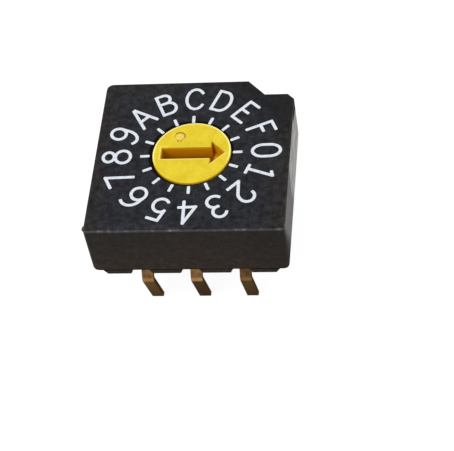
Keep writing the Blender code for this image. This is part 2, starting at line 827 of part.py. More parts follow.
clear_scene()
parts = new_collection("rotary_dip_switch")
cutters = new_collection("cutters")
build_cover()
build_base()
build_bottom_seal()
build_rotor()
build_o_ring()
build_code_plate()
build_terminals()
build_contacts()
build_detent_springs()
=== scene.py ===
"""Looks, light and camera for the sixteen-position rotary code switch.

The scene is in metres. The materials and the plan of the dial print are worked out in millimetres.
"""

import math

import bmesh
import bpy
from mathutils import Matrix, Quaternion, Vector
from mathutils.geometry import delaunay_2d_cdt
from mathutils.noise import noise as noise_value


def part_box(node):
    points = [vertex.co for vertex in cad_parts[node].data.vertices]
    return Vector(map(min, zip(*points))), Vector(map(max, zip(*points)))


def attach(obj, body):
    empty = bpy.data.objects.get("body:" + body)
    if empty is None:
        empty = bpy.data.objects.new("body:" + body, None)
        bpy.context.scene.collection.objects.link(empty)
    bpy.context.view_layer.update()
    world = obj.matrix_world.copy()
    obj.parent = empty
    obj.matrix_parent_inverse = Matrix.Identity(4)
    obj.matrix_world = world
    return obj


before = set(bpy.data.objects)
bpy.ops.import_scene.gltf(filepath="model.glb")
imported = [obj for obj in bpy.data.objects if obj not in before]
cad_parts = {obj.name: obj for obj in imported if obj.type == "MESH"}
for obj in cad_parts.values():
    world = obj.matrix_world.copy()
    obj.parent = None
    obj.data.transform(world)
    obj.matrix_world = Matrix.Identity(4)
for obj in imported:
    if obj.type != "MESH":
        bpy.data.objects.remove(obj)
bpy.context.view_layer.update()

MM = 0.001

# Places taken from the CAD nodes, in metres
_, CASE_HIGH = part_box("cover")
_, ROTOR_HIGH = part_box("rotor")
CASE_TOP = CASE_HIGH.z

# Places on the CAD nodes, in millimetres, for the materials
CASE_TOP_MM = CASE_TOP / MM
CASE_SIDE_MM = CASE_HIGH.x / MM
ROTOR_TOP_MM = ROTOR_HIGH.z / MM
ROTOR_HEAD_RADIUS = 2.01
GATE_PLACE = Vector((-0.70, 1.09))
SEAM_LEVEL = 4.50
KNEE_LEVEL = 2.75
LEG_PITCH = 2.54
LEG_HALF_WIDTH = 0.30

# Camera, aimed at a point in the plane of the dial
CAMERA_AZIMUTH = 12.93
CAMERA_ELEVATION = 50.42
CAMERA_ROLL = -10.83
CAMERA_DISTANCE = 77.74 * MM
CAMERA_AIM = Vector((2.174 * MM, -4.708 * MM, CASE_TOP))
CAMERA_LENS = 126.87
CAMERA_CLIP = (0.001, 10.0)
SENSOR_WIDTH = 36.0

# Studio: each lamp's name, azimuth, elevation, distance, size and power
LAMPS = (
    ("key", -40, 55, 0.30, 0.22, 0.55),
    ("fill", 60, 40, 0.35, 0.25, 0.25),
)
WORLD_LIGHT = 0.55
WORLD_SEEN = 1.0
FLOOR_RADIUS = 0.6
FLOOR_SEGMENTS = 96
FLOOR_LIT = 0.80
FLOOR_SHADED = 0.22
FLOOR_GLOW = 0.885

# Dial print, with its plan drawn in millimetres
INK_THICKNESS = 0.010 * MM
INK_SINK = 0.002 * MM
STROKE = 0.162
TICK_WIDTH = 0.16
TICK_START = 2.13
TICK_END = 2.62
CHARACTER_RADIUS = 3.83
PRINT_TURN = 2.0
PRINT_CENTRE = Vector((-0.03, -0.04))
CHARACTERS = "0FEDCBA987654321"

# Pen strokes
CAP_STEPS = 8
CAP_POWER = 0.55
SHARP_CORNER = math.radians(28)
SAME_PLACE = 0.00001

# Burr at the top's front left corner
BURR_PLACE = Vector((-5.00 * MM, -4.72 * MM, CASE_TOP - 0.10 * MM))
BURR_SIZE = Vector((0.075 * MM, 0.14 * MM, 0.09 * MM))
BURR_LUMP_SCALE = 1.7
BURR_LUMP_HEIGHT = 0.35

# The part of a noise texture's range that it mostly keeps to
NOISE_LOW = 0.3
NOISE_HIGH = 0.7

# Black moulding: where each mark starts and where it is full, in millimetres from its line
# or, round the hole, from the rotor's axis
WALL_BELOW_TOP = (0.04, 0.16)
RIM_LINE = (0.105, 0.045)
SEAM_LINE = (0.060, 0.015)
HOLE_RING = (2.22, 2.15)
HOLE_RING_SHIFT = 0.026

# Black moulding: colours
TOP_COOL = (0.0136, 0.0142, 0.0180)
TOP_WARM = (0.0165, 0.0148, 0.0136)
WALL_UPPER = (0.0062, 0.0036, 0.0022)
WALL_LOWER = (0.0112, 0.0056, 0.0026)
# Right wall: a painted sheen, lighter along its streaks, and a painted dark reflection
RIGHT_WALL_SHEEN = (0.026, 0.0185, 0.0135)
RIGHT_WALL_SHEEN_STREAK = (0.034, 0.0250, 0.0185)
RIGHT_WALL_DARK_REFLECTION = (0.004, 0.003, 0.003)
# Painted highlight on the rim, and painted shadows in the seam and round the rotor's hole
RIM_HIGHLIGHT = (0.19, 0.18, 0.17)
SEAM_SHADOW = (0.0015, 0.0012, 0.0010)
HOLE_SHADOW = (0.0022, 0.0013, 0.0008)
DUST = (0.20, 0.20, 0.20)

# Yellow moulding: depths below the rotor's top, in millimetres
FLAT_TOP = (0.030, 0.010)
AMBER_START = (0.01, 0.22)
AMBER_DEEPENS = (0.12, 0.85)
ARROW_FLOOR = (0.80, 0.86)

# Yellow moulding: distances from the gate's middle, in millimetres, and squared from the pits'
STUB_EDGE = (0.32, 0.25)
GATE_SHADOW_INNER_EDGE = (0.225, 0.255)
GATE_SHADOW_OUTER_EDGE = (0.325, 0.295)
GATE_PITS = ((-0.07, -0.31), (0.08, -0.31))
PIT_EDGE = (0.0026, 0.0010)

# Yellow moulding: the painted highlight lines beside the arrow and the painted highlight on the
# head's edge, in millimetres
LINE_BLUR = 0.012
SHAFT_LINE_FORWARD = (0.415, 0.475)
SHAFT_LINE_X = (-1.62, 0.93)
TAIL_LINE_X = (-1.665, -1.605)
TAIL_LINE_Y = (-0.44, 0.44)
HEAD_LINE_NORMAL = (0.717, -0.697)
HEAD_LINE_OUTWARD = (1.255, 1.315)
HEAD_LINE_Y = (-0.80, 0.0)
EDGE_HIGHLIGHT = (ROTOR_HEAD_RADIUS - 0.110, ROTOR_HEAD_RADIUS - 0.085)

# Yellow moulding: colours
YELLOW_DEEP = (0.69, 0.515, 0.016)
YELLOW_PALE = (0.79, 0.605, 0.028)
# Painted highlight on the rotor's edge and beside the arrow
YELLOW_HIGHLIGHT = (0.97, 0.88, 0.30)
STUB_DEEP = (0.76, 0.55, 0.055)
STUB_PALE = (0.88, 0.71, 0.190)
# Painted shadows round the gate stub and in its pits
GATE_RING_SHADOW = (0.20, 0.11, 0.008)
PIT_SHADOW = (0.12, 0.06, 0.004)
# Painted shade in the arrow's recess, and painted light in its head
AMBER_UPPER = (0.64, 0.275, 0.0005)
AMBER_LOWER = (0.50, 0.165, 0.0002)
AMBER_FLOOR_SHADE = (0.17, 0.060, 0.0004)
AMBER_HEAD_LIGHT = (0.78, 0.400, 0.0008)

# Terminals: the tone of the left, middle and right column, above and below the knee
UPPER_TONES = (1.0, 1.25, 0.62)
LOWER_TONES = (1.42, 0.70, 1.05)

# Terminals: colours
BRONZE = (0.190, 0.100, 0.038)
BRONZE_TARNISHED = (0.085, 0.043, 0.015)
BRONZE_DRAWN = (0.23, 0.125, 0.050)
# Painted shade below the knee, and a painted highlight on the knee
BRONZE_LOW_SHADE = (0.048, 0.026, 0.0105)
BRONZE_KNEE_HIGHLIGHT = (0.34, 0.20, 0.085)
BRONZE_CUT = (0.055, 0.032, 0.014)
BRONZE_TINT = (0.45, 0.42, 0.395)

# Ink and inner pieces: colours
INK = (0.72, 0.76, 0.83)
INK_THIN = (0.44, 0.47, 0.53)
GOLD = (0.86, 0.60, 0.22)
GOLD_WORN = (0.66, 0.44, 0.16)
STEEL = (0.56, 0.56, 0.57)
STEEL_WORN = (0.40, 0.40, 0.42)
RUBBER = (0.016, 0.016, 0.016)
RUBBER_WORN = (0.030, 0.030, 0.031)
POTTING = (0.040, 0.036, 0.033)
POTTING_WORN = (0.060, 0.054, 0.050)

WHITE = (1.0, 1.0, 1.0)


def feed(tree, socket, value):
    """Links a socket to another node's output, or sets its plain value."""
    if isinstance(value, bpy.types.NodeSocket):
        tree.links.new(value, socket)
    elif socket.type == "RGBA":
        socket.default_value = (*value, 1.0)
    else:
        socket.default_value = value


def node(tree, kind, inputs=None, **settings):
    made = tree.nodes.new(kind)
    for name, value in settings.items():
        setattr(made, name, value)
    for name, value in (inputs or {}).items():
        feed(tree, made.inputs[name], value)
    return made


def math_node(tree, operation, first, second=0.0):
    return node(tree, "ShaderNodeMath", {0: first, 1: second}, operation=operation).outputs[0]


def plus(tree, first, second):
    return math_node(tree, "ADD", first, second)


def minus(tree, first, second):
    return math_node(tree, "SUBTRACT", first, second)


def product(tree, *values):
    whole = values[0]
    for value in values[1:]:
        whole = math_node(tree, "MULTIPLY", whole, value)
    return whole


def largest(tree, *values):
    most = values[0]
    for value in values[1:]:
        most = math_node(tree, "MAXIMUM", most, value)
    return most


def magnitude(tree, value):
    return math_node(tree, "ABSOLUTE", value)


def sum_of_squares(tree, first, second):
    return plus(tree, product(tree, first, first), product(tree, second, second))


def length(tree, first, second):
    return math_node(tree, "SQRT", sum_of_squares(tree, first, second))


def mix_number(tree, share, first, second):
    inputs = {0: share, 2: first, 3: second}
    return node(tree, "ShaderNodeMix", inputs, data_type="FLOAT").outputs[0]


def mix_colour(tree, share, first, second, blend="MIX"):
    inputs = {0: share, 6: first, 7: second}
    return node(tree, "ShaderNodeMix", inputs, data_type="RGBA", blend_type=blend).outputs[2]


def ramp(tree, value, low, high, low_to=0.0, high_to=1.0, smooth=True):
    """Maps a value from one range to another, held at both ends."""
    inputs = {0: value, 1: low, 2: high, 3: low_to, 4: high_to}
    way = "SMOOTHSTEP" if smooth else "LINEAR"
    return node(tree, "ShaderNodeMapRange", inputs, interpolation_type=way).outputs[0]


def spread(tree, texture, low, high, smooth=True):
    """Maps a noise texture's usual range to another."""
    return ramp(tree, texture, NOISE_LOW, NOISE_HIGH, low, high, smooth)


def band(tree, value, low, high):
    """1 between two numbers, with short soft ends."""
    return product(
        tree,
        ramp(tree, value, low - LINE_BLUR, low + LINE_BLUR),
        ramp(tree, value, high + LINE_BLUR, high - LINE_BLUR),
    )


def factor_in(tree, zone, factor):
    """The factor inside a zone, and 1 outside it."""
    return mix_number(tree, zone, 1.0, factor)


def shaded(tree, colour, shade):
    """A colour multiplied by a number."""
    grey = node(tree, "ShaderNodeCombineColor", {0: shade, 1: shade, 2: shade}).outputs[0]
    return mix_colour(tree, 1.0, colour, grey, "MULTIPLY")


def stretched(tree, places, scale):
    """Coordinates multiplied by a scale for each axis."""
    inputs = {0: places, 1: scale}
    return node(tree, "ShaderNodeVectorMath", inputs, operation="MULTIPLY").outputs[0]


def object_coordinates(tree, scale=(1.0, 1.0, 1.0)):
    """Object coordinates in millimetres, multiplied by a scale for each axis."""
    places = node(tree, "ShaderNodeTexCoord").outputs["Object"]
    return stretched(tree, places, tuple(factor / MM for factor in scale))


def components(tree, places):
    return node(tree, "ShaderNodeSeparateXYZ", {"Vector": places}).outputs


def noise(tree, places, scale, detail=3.0, roughness=0.5):
    inputs = {"Vector": places, "Scale": scale, "Detail": detail, "Roughness": roughness}
    return node(tree, "ShaderNodeTexNoise", inputs).outputs["Fac"]


def new_material(name):
    made = bpy.data.materials.new(name)
    made.use_nodes = True
    tree = made.node_tree
    return made, tree, tree.nodes["Principled BSDF"]


def set_surface(tree, shader, colour, rough, height, distance, strength=0.5):
    """Gives a shader its colour, its roughness and a fine bump."""
    inputs = {"Height": height, "Distance": distance, "Strength": strength}
    relief = node(tree, "ShaderNodeBump", inputs).outputs["Normal"]
    feed(tree, shader.inputs["Base Color"], colour)
    feed(tree, shader.inputs["Roughness"], rough)
    feed(tree, shader.inputs["Normal"], relief)


def black_moulding():
    made, tree, shader = new_material("black_moulding_look")
    places = object_coordinates(tree)
    x, y, z = components(tree, places)
    beside = magnitude(tree, x)
    below = minus(tree, CASE_TOP_MM, z)
    on_wall = ramp(tree, below, *WALL_BELOW_TOP)
    on_top = factor_in(tree, on_wall, 0.0)
    right_face = ramp(tree, x, CASE_SIDE_MM - 0.04, CASE_SIDE_MM - 0.01)
    on_right = product(tree, right_face, on_wall)
    on_other_walls = mix_number(tree, on_right, on_wall, 0.0)

    # A cool bloom on the top, warmer towards its sides and back and down the walls
    clouds = noise(tree, places, 0.55, 4.0, 0.6)
    sideways = plus(tree, largest(tree, beside, y), product(tree, clouds, 1.6))
    colour = mix_colour(tree, ramp(tree, sideways, 4.4, 5.8), TOP_COOL, TOP_WARM)
    low = ramp(tree, plus(tree, below, product(tree, clouds, 1.2)), 0.8, 3.2)
    colour = mix_colour(tree, on_wall, colour, mix_colour(tree, low, WALL_UPPER, WALL_LOWER))

    # Blotches and grain, and fine marks that run at a slant across the walls
    blotches = noise(tree, places, 3.2, 5.0, 0.68)
    grain = noise(tree, places, 15.0, 4.0, 0.65)
    slant = {"Vector": places, "Rotation": (0.0, math.radians(-24), 0.0)}
    slanted = node(tree, "ShaderNodeMapping", slant).outputs[0]
    marks = noise(tree, stretched(tree, slanted, (0.9, 0.9, 7.0)), 1.0, 4.0, 0.6)
    marked = product(tree, on_wall, factor_in(tree, on_right, 0.25))
    # Painted shade darkens the top's back right and the walls' right end, and painted light
    # brightens the top's front edge
    back_right_shade = product(tree, ramp(tree, plus(tree, x, y), 4.6, 7.4), on_top)
    right_end_shade = product(tree, ramp(tree, x, 2.4, 4.8), on_other_walls)
    front_edge_light = product(tree, ramp(tree, y, -4.1, -4.8), on_top, ramp(tree, x, 2.0, -1.0))
    shade = product(
        tree,
        spread(tree, blotches, 0.15, 1.95, smooth=False),
        spread(tree, grain, 0.50, 1.55, smooth=False),
        factor_in(tree, marked, ramp(tree, marks, 0.35, 0.68, 0.62, 1.40, smooth=False)),
        factor_in(tree, back_right_shade, 0.55),
        factor_in(tree, right_end_shade, 0.60),
        factor_in(tree, front_edge_light, 1.30),
    )

    # Right wall: painted sheen, lighter along polished streaks, with a painted dark reflection at
    # its upper back corner and lower front edge, where it is also duller
    streaks = noise(tree, object_coordinates(tree, (1.0, 0.5, 3.4)), 1.3, 4.0, 0.6)
    upper_back = ramp(tree, plus(tree, below, product(tree, y, -0.30)), -0.1, -0.6)
    back_dark_reflection = product(tree, ramp(tree, y, 1.9, 2.9), upper_back)
    front_dark_reflection = ramp(tree, minus(tree, product(tree, below, 0.5), y), 4.6, 5.6)
    dull_and_dark_reflection = largest(tree, back_dark_reflection, product(tree, front_dark_reflection, 0.7))
    right = mix_colour(tree, ramp(tree, streaks, 0.35, 0.65), RIGHT_WALL_SHEEN, RIGHT_WALL_SHEEN_STREAK)
    right = mix_colour(tree, dull_and_dark_reflection, right, RIGHT_WALL_DARK_REFLECTION)
    colour = shaded(tree, mix_colour(tree, on_right, colour, right), shade)

    # Painted highlight along the top's rim: a thin grey line at the front, broken, and brighter in
    # places
    inward = minus(tree, CASE_SIDE_MM, largest(tree, beside, magnitude(tree, y)))
    near_rim = ramp(tree, length(tree, inward, below), *RIM_LINE)
    broken = ramp(tree, noise(tree, places, 0.8, 6.0, 0.75), 0.50, 0.66, 0.16, 0.88)
    painted_highlight_line = product(tree, near_rim, broken, ramp(tree, y, -4.5, -4.9, 0.18, 1.0))
    colour = mix_colour(tree, painted_highlight_line, colour, RIM_HIGHLIGHT)

    # Painted shadow in the line above the standoffs, and a painted shadow ring round the rotor's
    # hole, widest at the back left
    seam = ramp(tree, magnitude(tree, minus(tree, z, SEAM_LEVEL)), *SEAM_LINE)
    colour = mix_colour(tree, product(tree, seam, 0.75), colour, SEAM_SHADOW)
    to_front_right = product(tree, minus(tree, x, y), HOLE_RING_SHIFT)
    hole_shadow = ramp(tree, plus(tree, length(tree, x, y), to_front_right), *HOLE_RING)
    colour = mix_colour(tree, hole_shadow, colour, HOLE_SHADOW)

    # Sparse pale specks of dust
    cells = node(tree, "ShaderNodeTexVoronoi", {"Vector": places, "Scale": 2.3}).outputs
    draw = node(tree, "ShaderNodeSeparateColor", {0: cells["Color"]}).outputs
    close = ramp(tree, cells["Distance"], 0.085, 0.045)
    chosen = ramp(tree, draw[0], 0.70, 0.72)
    strength = ramp(tree, draw[1], 0.0, 1.0, 0.10, 0.50)
    colour = mix_colour(tree, product(tree, close, chosen, strength), colour, DUST)

    satin = spread(tree, noise(tree, places, 2.2, 4.0), 0.40, 0.52)
    frontward = ramp(tree, plus(tree, y, product(tree, streaks, 1.6)), 0.1, -0.8)
    polish = ramp(tree, streaks, 0.35, 0.65, 0.34, 0.17)
    polish = mix_number(tree, frontward, polish, 0.44)
    polish = mix_number(tree, dull_and_dark_reflection, polish, 0.95)
    rough = mix_number(tree, on_right, satin, polish)
    rough = mix_number(tree, largest(tree, seam, hole_shadow), rough, 0.9)
    rough = plus(tree, rough, product(tree, painted_highlight_line, 0.2))
    uneven = plus(tree, grain, product(tree, blotches, 1.5))
    shader.inputs["Specular IOR Level"].default_value = 0.10
    set_surface(tree, shader, colour, rough, uneven, 0.0025 * MM)
    return made


def yellow_moulding():
    made, tree, shader = new_material("yellow_moulding_look")
    places = object_coordinates(tree)
    x, y, z = components(tree, places)
    depth = minus(tree, ROTOR_TOP_MM, z)
    clouds = noise(tree, places, 1.3, 5.0, 0.65)
    grain = noise(tree, places, 13.0, 4.0, 0.65)
    colour = mix_colour(tree, ramp(tree, clouds, 0.35, 0.65), YELLOW_DEEP, YELLOW_PALE)
    colour = shaded(tree, colour, spread(tree, grain, 0.90, 1.08, smooth=False))

    # The stub of the moulding gate: paler, with a painted shadow round its back edge, and painted
    # shadows of two small pits in front
    across = minus(tree, x, GATE_PLACE.x)
    upward = minus(tree, y, GATE_PLACE.y)
    reach = length(tree, across, upward)
    ragged = plus(tree, reach, spread(tree, noise(tree, places, 6.0, 3.0), -0.05, 0.05))
    flecks = ramp(tree, noise(tree, places, 8.0, 4.0, 0.7), 0.45, 0.65)
    stub = mix_colour(tree, flecks, STUB_DEEP, STUB_PALE)
    colour = mix_colour(tree, ramp(tree, ragged, *STUB_EDGE), colour, stub)
    shadow_side = ramp(tree, plus(tree, product(tree, across, 0.6), upward), -0.04, 0.12)
    past_inner = ramp(tree, reach, *GATE_SHADOW_INNER_EDGE)
    within_outer = ramp(tree, reach, *GATE_SHADOW_OUTER_EDGE)
    gate_ring_shadow = product(tree, shadow_side, past_inner, within_outer, 0.60)
    colour = mix_colour(tree, gate_ring_shadow, colour, GATE_RING_SHADOW)
    for pit_x, pit_y in GATE_PITS:
        squares = sum_of_squares(tree, minus(tree, across, pit_x), minus(tree, upward, pit_y))
        colour = mix_colour(tree, ramp(tree, squares, *PIT_EDGE), colour, PIT_SHADOW)

    # Painted shade down the arrow's recess: amber on its walls, deeper with depth, dark on its
    # floor, and painted light on the head's side
    deep = ramp(tree, depth, *AMBER_DEEPENS, smooth=False)
    recess_light_and_shade = mix_colour(tree, deep, AMBER_UPPER, AMBER_LOWER)
    recess_light_and_shade = mix_colour(tree, ramp(tree, depth, *ARROW_FLOOR), recess_light_and_shade, AMBER_FLOOR_SHADE)
    past_shaft = ramp(tree, x, 0.92, 1.10, 0.0, 0.85)
    in_head = product(tree, past_shaft, ramp(tree, x, 1.15, 1.65, 1.0, 0.30))
    recess_light_and_shade = mix_colour(tree, in_head, recess_light_and_shade, AMBER_HEAD_LIGHT)
    colour = mix_colour(tree, ramp(tree, depth, *AMBER_START), colour, recess_light_and_shade)

    # Painted highlights: a thin pale edge round the back of the head, and pale lines beside the
    # arrow
    flat_top = ramp(tree, depth, *FLAT_TOP)
    edge = ramp(tree, length(tree, x, y), *EDGE_HIGHLIGHT)
    edge_highlight = product(tree, edge, flat_top, ramp(tree, y, -1.1, 0.0))
    forward = product(tree, y, -1.0)
    shaft_line = product(
        tree, band(tree, forward, *SHAFT_LINE_FORWARD), band(tree, x, *SHAFT_LINE_X)
    )
    tail_line = product(tree, band(tree, x, *TAIL_LINE_X), band(tree, y, *TAIL_LINE_Y))
    normal_x, normal_y = HEAD_LINE_NORMAL
    outward = plus(tree, product(tree, x, normal_x), product(tree, y, normal_y))
    head_line = product(tree, band(tree, outward, *HEAD_LINE_OUTWARD), band(tree, y, *HEAD_LINE_Y))
    painted_highlight_line = product(tree, largest(tree, shaft_line, tail_line, head_line), flat_top, 0.42)
    colour = mix_colour(tree, largest(tree, edge_highlight, painted_highlight_line), colour, YELLOW_HIGHLIGHT)

    shader.inputs["Specular IOR Level"].default_value = 0.20
    set_surface(tree, shader, colour, spread(tree, grain, 0.36, 0.50), grain, 0.002 * MM)
    return made


def terminal_metal():
    made, tree, shader = new_material("terminal_metal_look")
    places = object_coordinates(tree)
    x, _, height = components(tree, places)
    tarnish = ramp(tree, noise(tree, places, 3.4, 5.0, 0.7), 0.36, 0.66)
    drawn = noise(tree, object_coordinates(tree, (6.0, 6.0, 0.8)), 3.0, 3.0)
    colour = mix_colour(tree, tarnish, BRONZE, BRONZE_TARNISHED)
    colour = mix_colour(tree, product(tree, drawn, 0.35), colour, BRONZE_DRAWN)
    # Painted shade on the legs below the knee, and a painted highlight along the knee
    low_leg = ramp(tree, height, KNEE_LEVEL, KNEE_LEVEL - 0.35)
    colour = mix_colour(tree, product(tree, low_leg, 0.8), colour, BRONZE_LOW_SHADE)
    knee_highlight = ramp(tree, magnitude(tree, minus(tree, height, KNEE_LEVEL)), 0.20, 0.04)
    colour = mix_colour(tree, product(tree, knee_highlight, 0.55), colour, BRONZE_KNEE_HIGHLIGHT)

    # Each column of legs has its own tone, darker towards the tips, with painted shadow under the
    # case
    column = math_node(tree, "ROUND", math_node(tree, "DIVIDE", x, LEG_PITCH))
    is_left = ramp(tree, column, -0.4, -0.6)
    is_right = ramp(tree, column, 0.4, 0.6)

    def by_column(left, middle, right):
        """A number for each column of legs."""
        return mix_number(tree, is_left, mix_number(tree, is_right, middle, right), left)

    case_shadow = ramp(tree, height, 3.1, 4.3, 1.06, 0.70)
    upper_tone = product(tree, by_column(*UPPER_TONES), case_shadow)
    off_tip = ramp(tree, height, 0.2, 2.2, 0.70, 1.25)
    lower_tone = product(tree, by_column(*LOWER_TONES), off_tip)
    colour = shaded(tree, colour, mix_number(tree, low_leg, upper_tone, lower_tone))

    # The cut sides of the strip are dull and dark
    from_column = magnitude(tree, minus(tree, x, product(tree, column, LEG_PITCH)))
    cut_side = ramp(tree, from_column, LEG_HALF_WIDTH - 0.015, LEG_HALF_WIDTH - 0.001)
    colour = mix_colour(tree, cut_side, colour, BRONZE_CUT)
    rough = mix_number(tree, cut_side, spread(tree, drawn, 0.26, 0.42), 0.70)

    shader.inputs["Metallic"].default_value = 1.0
    feed(tree, shader.inputs["Specular Tint"], BRONZE_TINT)
    set_surface(tree, shader, colour, rough, drawn, 0.002 * MM)
    return made


def sheet_metal(name, colour, worn, rough, grain_scale):
    """Rolled strip: fine lines along it, with duller patches."""
    made, tree, shader = new_material(name)
    places = object_coordinates(tree)
    lines = noise(tree, object_coordinates(tree, (1.0, grain_scale, 1.0)), 3.0, 4.0, 0.6)
    patches = ramp(tree, noise(tree, places, 1.5, 4.0, 0.6), 0.35, 0.7)
    colour = mix_colour(tree, patches, colour, worn)
    rough = spread(tree, lines, rough - 0.06, rough + 0.08)
    shader.inputs["Metallic"].default_value = 1.0
    set_surface(tree, shader, colour, rough, lines, 0.0015 * MM, 0.4)
    return made


def soft_moulding(name, colour, worn, rough, coat=0.0):
    """Rubber or cast resin: a cloudy colour and a slightly uneven surface."""
    made, tree, shader = new_material(name)
    places = object_coordinates(tree)
    clouds = noise(tree, places, 1.3, 5.0, 0.6)
    fine = noise(tree, places, 9.0, 4.0, 0.6)
    colour = mix_colour(tree, ramp(tree, clouds, 0.35, 0.7), colour, worn)
    rough = spread(tree, fine, rough - 0.06, rough + 0.06)
    shader.inputs["Coat Weight"].default_value = coat
    set_surface(tree, shader, colour, rough, mix_number(tree, 0.5, clouds, fine), 0.004 * MM)
    return made


def ink():
    made, tree, shader = new_material("dial_ink")
    places = object_coordinates(tree)
    thin = ramp(tree, noise(tree, places, 8.0, 5.0, 0.7), 0.48, 0.72)
    grain = noise(tree, places, 18.0, 3.0)
    colour = mix_colour(tree, thin, INK, INK_THIN)
    set_surface(tree, shader, colour, spread(tree, grain, 0.45, 0.60), grain, 0.002 * MM)
    return made


def dress(names, look):
    for name in names:
        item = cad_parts[name]
        item.data.materials.clear()
        item.data.materials.append(look)


def add_object(name, data):
    made = bpy.data.objects.new(name, data)
    bpy.context.scene.collection.objects.link(made)
    return made


def mesh_object(name, bm, look):
    """Turns a bmesh into an object of the scene with one material."""
    mesh = bpy.data.meshes.new(name)
    bm.to_mesh(mesh)
    bm.free()
    mesh.materials.append(look)
    return add_object(name, mesh)


def arc(centre_x, centre_y, radius_x, radius_y, start, end, steps=18):
    """Points of an elliptical arc, its angles in degrees."""
    angles = [math.radians(start + (end - start) * i / steps) for i in range(steps + 1)]
    return [(centre_x + radius_x * math.cos(a), centre_y + radius_y * math.sin(a)) for a in angles]


def ring(centre_x, centre_y, radius_x, radius_y):
    """A closed loop as two strokes that meet."""
    return [
        arc(centre_x, centre_y, radius_x, radius_y, 90, 270),
        arc(centre_x, centre_y, radius_x, radius_y, -90, 90),
    ]


def glyph_strokes():
    """Each dial character's pen strokes in millimetres, upright about its own middle."""
    return {
        "0": [
            arc(-0.02, 0.16, 0.39, 0.55, 0, 180, 24),
            arc(-0.02, -0.16, 0.39, 0.55, 180, 360, 24),
            [(-0.41, 0.16), (-0.41, -0.16)],
            [(0.37, 0.16), (0.37, -0.16)],
        ],
        "F": [[(-0.30, -0.68), (-0.30, 0.67), (0.29, 0.67)], [(-0.30, 0.05), (0.13, 0.05)]],
        "E": [
            [(0.33, -0.68), (-0.34, -0.68), (-0.34, 0.66), (0.26, 0.66)],
            [(-0.34, 0.01), (0.11, 0.01)],
        ],
        "D": [
            [(-0.40, -0.66), (-0.40, 0.65), (-0.02, 0.65)]
            + arc(-0.02, -0.005, 0.43, 0.655, 90, -90)
            + [(-0.40, -0.66)]
        ],
        "C": [arc(0.02, -0.03, 0.46, 0.69, 37, 322, 30)],
        "B": [
            [(-0.39, -0.68), (-0.39, 0.66), (-0.02, 0.66)]
            + arc(-0.02, 0.37, 0.29, 0.29, 90, -90)
            + [(-0.39, 0.08)],
            [(-0.39, 0.08), (0.02, 0.08)]
            + arc(0.02, -0.30, 0.36, 0.38, 90, -90)
            + [(-0.39, -0.68)],
        ],
        "A": [
            [(-0.46, -0.68), (-0.04, 0.64), (0.03, 0.64), (0.43, -0.68)],
            [(-0.31, -0.21), (0.29, -0.21)],
        ],
        "9": ring(0.01, 0.34, 0.36, 0.39)
        + [[(0.37, 0.34), (0.36, 0.02)] + arc(-0.09, -0.10, 0.45, 0.64, 10, -122)],
        "8": ring(0.04, 0.41, 0.32, 0.29) + ring(0.02, -0.32, 0.41, 0.39),
        "7": [[(-0.32, 0.63), (0.39, 0.66), (-0.16, -0.66)]],
        "6": ring(0.0, -0.31, 0.39, 0.39)
        + [[(-0.39, -0.31), (-0.39, -0.02)] + arc(0.15, 0.02, 0.54, 0.62, 178, 66)],
        "5": [
            [(0.28, 0.65), (-0.29, 0.65), (-0.35, -0.02)]
            + arc(-0.05, -0.28, 0.40, 0.42, 132, -132, 26)
        ],
        "4": [[(0.17, -0.70), (0.17, 0.66), (-0.42, -0.35), (0.41, -0.35)]],
        "3": [
            arc(-0.05, 0.34, 0.34, 0.35, 152, -90),
            arc(-0.01, -0.35, 0.38, 0.36, 100, -145),
        ],
        "2": [
            arc(-0.03, 0.32, 0.37, 0.37, 178, 0)
            + arc(-0.10, 0.28, 0.44, 0.52, 0, -42, 6)
            + [(-0.38, -0.69), (0.34, -0.69)]
        ],
        "1": [
            [(-0.27, 0.52), (-0.06, 0.66), (-0.06, -0.70)],
            [(-0.29, -0.70), (0.20, -0.70)],
        ],
    }


def pen_outline(path, width):
    """The outline of a pen stroke with blunt ends along an open path without sharp corners."""
    radius = width / 2
    ways = [(b - a).normalized() for a, b in zip(path, path[1:])]
    left, right = [], []
    for before, after, place in zip(ways, ways[1:], path[1:]):
        middle = (before + after).normalized()
        side = Vector((-middle.y, middle.x)) * radius / middle.dot(after)
        left.append(place + side)
        right.append(place - side)

    def cap(centre, way):
        side = Vector((-way.y, way.x))
        turns = [math.pi * (0.5 - i / CAP_STEPS) for i in range(CAP_STEPS + 1)]
        bulge = [
            (math.cos(a) ** CAP_POWER, math.copysign(abs(math.sin(a)) ** CAP_POWER, a))
            for a in turns
        ]
        return [centre + radius * (way * ahead + side * across) for ahead, across in bulge]

    return left + cap(path[-1], ways[-1]) + right[::-1] + cap(path[0], -ways[0])


def pen_strokes(points, width):
    """Outlines of the strokes along a path, which is split at its sharp corners."""
    places = [Vector(point) for point in points]
    path = places[:1] + [b for a, b in zip(places, places[1:]) if (b - a).length > SAME_PLACE]
    outlines = []
    run = path[:2]
    for place in path[2:]:
        turn = (run[-1] - run[-2]).angle(place - run[-1])
        if turn > SHARP_CORNER:
            outlines.append(pen_outline(run, width))
            run = [run[-1]]
        run.append(place)
    outlines.append(pen_outline(run, width))
    return outlines


def is_inside(place, outline):
    odd = False
    for a, b in zip(outline, outline[1:] + outline[:1]):
        if (a.y > place.y) != (b.y > place.y):
            odd ^= place.x < a.x + (b.x - a.x) * (place.y - a.y) / (b.y - a.y)
    return odd


